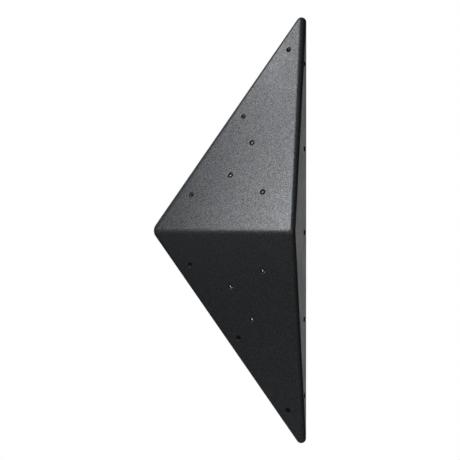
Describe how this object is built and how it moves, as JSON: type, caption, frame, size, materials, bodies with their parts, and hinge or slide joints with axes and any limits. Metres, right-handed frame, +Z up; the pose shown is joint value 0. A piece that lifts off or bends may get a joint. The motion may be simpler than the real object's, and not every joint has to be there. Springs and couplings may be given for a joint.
{
  "type": "climbing volume",
  "caption": "Tall triangular pyramid volume for a climbing wall: a moulded open-backed shell with perimeter screw cups and bolt-hole T-nuts on plywood pads.",
  "frame": {"origin": "on the wall plane, in the middle of the laminate of the long straight side, half-way up", "axes": "+Y into the wall, square to it; +Z up along the long straight side; the volume stands out towards -Y and its left corner points to -X"},
  "size_m": [0.335, 0.19, 0.936],
  "materials": {
    "laminate": "charcoal gel coat with a fine sand texture on glass-fibre laminate",
    "plywood": "birch plywood, uncoated",
    "zinc_steel": "bright zinc plate",
    "cup_steel": "dull pressed steel"
  },
  "bodies": {
    "root": {"moulded_shell": "laminate", "upper_pad_1": "plywood", "upper_pad_2": "plywood", "upper_pad_3": "plywood", "lower_pad_1": "plywood", "lower_pad_2": "plywood", "lower_pad_3": "plywood", "upper_tnut_1": "zinc_steel", "upper_tnut_2": "zinc_steel", "upper_tnut_3": "zinc_steel", "lower_tnut_1": "zinc_steel", "lower_tnut_2": "zinc_steel", "lower_tnut_3": "zinc_steel", "upper_screw_cup_1": "cup_steel", "upper_screw_cup_2": "cup_steel", "upper_screw_cup_3": "cup_steel", "lower_screw_cup_1": "cup_steel", "lower_screw_cup_2": "cup_steel", "lower_screw_cup_3": "cup_steel", "side_screw_cup_1": "cup_steel", "side_screw_cup_2": "cup_steel", "side_screw_cup_3": "cup_steel", "side_screw_cup_4": "cup_steel", "side_screw_cup_5": "cup_steel"}
  },
  "joints": []
}
